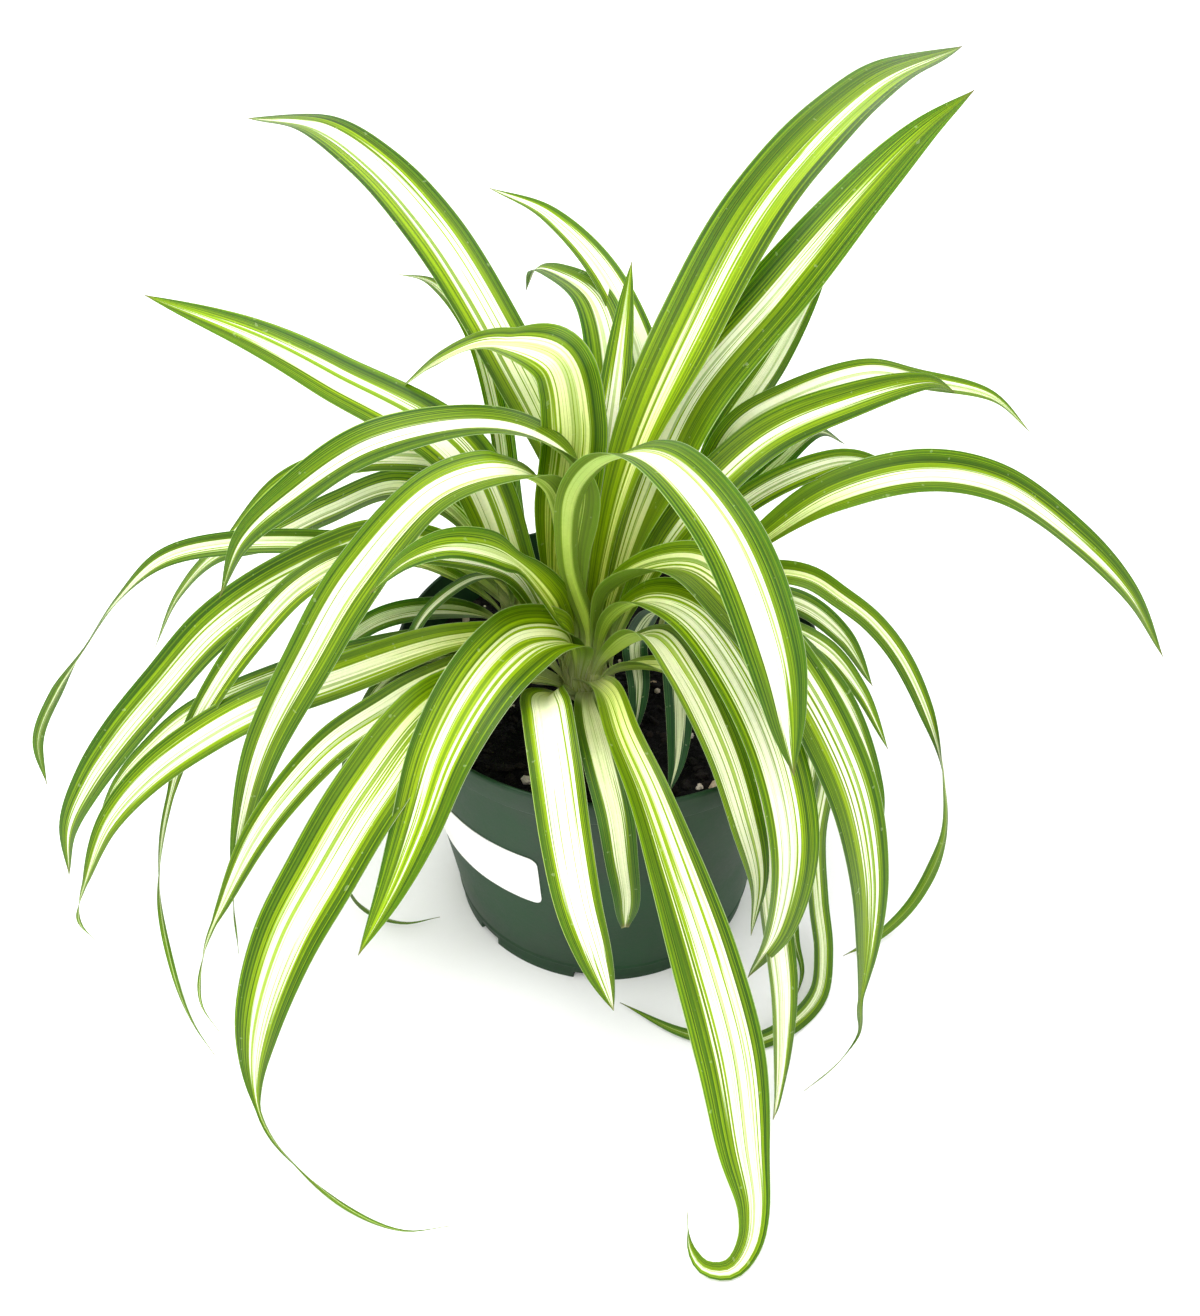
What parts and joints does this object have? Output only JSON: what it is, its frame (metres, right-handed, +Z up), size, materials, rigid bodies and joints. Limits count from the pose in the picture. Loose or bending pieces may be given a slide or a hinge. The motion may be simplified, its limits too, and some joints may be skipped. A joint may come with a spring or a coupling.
{
  "type": "potted spider plant",
  "caption": "Variegated spider plant with long arching striped leaves, growing in a round tapered nursery pot with a rolled rim collar.",
  "frame": {"origin": "centre of the pot's flat underside, where it stands", "axes": "+Z up the pot's axis, -Y towards the side shown in the picture, +X to that view's right"},
  "size_m": [0.466, 0.4561, 0.274],
  "materials": {
    "pot": "satin dark green moulded plastic",
    "label": "plain white paper label",
    "potting_mix": "damp dark bark and peat potting mix",
    "crown": "pale green leaf sheaths",
    "leaf": "living leaf, cream centre with green margins, slight gloss"
  },
  "bodies": {
    "root": {"pot": "pot", "label": "label", "potting_mix": "potting_mix", "crown_main": "crown", "crown_left": "crown", "crown_right": "crown", "leaf_tall_right": "leaf", "leaf_tall_right_back": "leaf", "leaf_tall_left": "leaf", "leaf_spike": "leaf", "leaf_back_arch": "leaf", "leaf_back_curl": "leaf", "leaf_folded_back": "leaf", "leaf_back_right_short": "leaf", "leaf_left_back_tip": "leaf", "leaf_left_back_low": "leaf", "leaf_left_straight": "leaf", "leaf_left_arch": "leaf", "leaf_left_arch_front": "leaf", "leaf_left_inner_high": "leaf", "leaf_left_inner_low": "leaf", "leaf_left_out_back": "leaf", "leaf_left_out_thin": "leaf", "leaf_left_mid_back": "leaf", "leaf_left_wide": "leaf", "leaf_left_hanging": "leaf", "leaf_left_low": "leaf", "leaf_left_low_back": "leaf", "leaf_left_low_front": "leaf", "leaf_front_left_folded": "leaf", "leaf_front_left_big": "leaf", "leaf_floor_left": "leaf", "leaf_front_narrow": "leaf", "leaf_front_short": "leaf", "leaf_front_big": "leaf", "leaf_front_stub": "leaf", "leaf_front_right_arch": "leaf", "leaf_right_fall_outer": "leaf", "leaf_right_fall_middle": "leaf", "leaf_right_fall_low": "leaf", "leaf_right_fall_inner": "leaf", "leaf_right_soil_front": "leaf", "leaf_right_soil_back": "leaf", "leaf_right_up": "leaf", "leaf_right_up_back": "leaf", "leaf_right_out": "leaf", "leaf_right_out_short": "leaf", "leaf_right_out_dark": "leaf", "leaf_right_twisted": "leaf", "leaf_right_wave": "leaf", "leaf_right_hook": "leaf", "leaf_right_thin": "leaf", "leaf_right_trailing": "leaf", "leaf_right_inside": "leaf", "leaf_left_strap": "leaf", "leaf_left_soil": "leaf", "leaf_left_rim": "leaf"}
  },
  "joints": []
}
